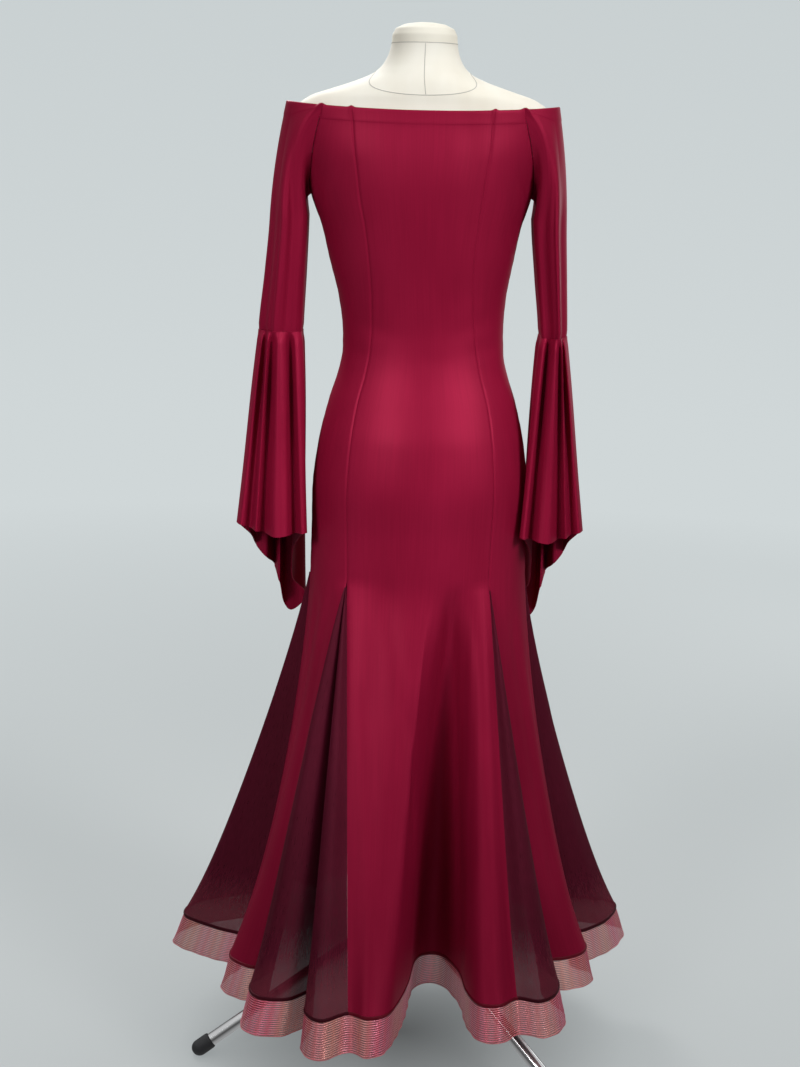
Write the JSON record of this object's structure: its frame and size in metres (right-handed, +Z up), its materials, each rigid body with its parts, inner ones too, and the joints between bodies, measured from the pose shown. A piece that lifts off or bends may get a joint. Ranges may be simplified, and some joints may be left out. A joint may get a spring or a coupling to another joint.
{
  "type": "mother of the bride dress on a dress form with a tripod stand",
  "caption": "Long off-the-shoulder gown with bell sleeves, sheer godets and a horsehair hem, on a limbless dress form with a tripod stand.",
  "frame": {"origin": "on the floor at the centre of the part's footprint, close to the stand's pole", "axes": "+Z up along the pole, -Y towards the dress's front, +X towards the wearer's left"},
  "size_m": [0.7413, 0.6948, 1.5816],
  "materials": {
    "wine_jersey": "satin-faced stretch jersey, soft sheen",
    "dark_mesh": "sheer stretch mesh, matt",
    "binding_satin": "satin binding, soft sheen",
    "horsehair_braid": "open nylon horsehair braid, fine glints",
    "form_jersey": "ivory cotton jersey, matt",
    "cap_jersey": "ivory cotton jersey, matt",
    "chrome": "bright chrome plate",
    "rubber": "moulded rubber, matt"
  },
  "bodies": {
    "root": {"panel_centre_back": "wine_jersey", "panel_centre_front": "wine_jersey", "panel_side_back_left": "wine_jersey", "panel_side_back_right": "wine_jersey", "panel_side_front_left": "wine_jersey", "panel_side_front_right": "wine_jersey", "sleeve_left": "wine_jersey", "sleeve_right": "wine_jersey", "flounce_left": "wine_jersey", "flounce_right": "wine_jersey", "godet_back_left": "dark_mesh", "godet_back_right": "dark_mesh", "godet_front_left": "dark_mesh", "godet_front_right": "dark_mesh", "godet_side_left": "dark_mesh", "godet_side_right": "dark_mesh", "binding_back": "binding_satin", "binding_front": "binding_satin", "binding_left": "binding_satin", "binding_right": "binding_satin", "braid_back": "horsehair_braid", "braid_front": "horsehair_braid", "braid_left": "horsehair_braid", "braid_right": "horsehair_braid", "form_body": "form_jersey", "form_neck_cap": "cap_jersey", "stand_pole": "chrome", "stand_hub": "chrome", "stand_leg_1": "chrome", "stand_leg_2": "chrome", "stand_leg_3": "chrome", "stand_foot_1": "rubber", "stand_foot_2": "rubber", "stand_foot_3": "rubber"}
  },
  "joints": []
}
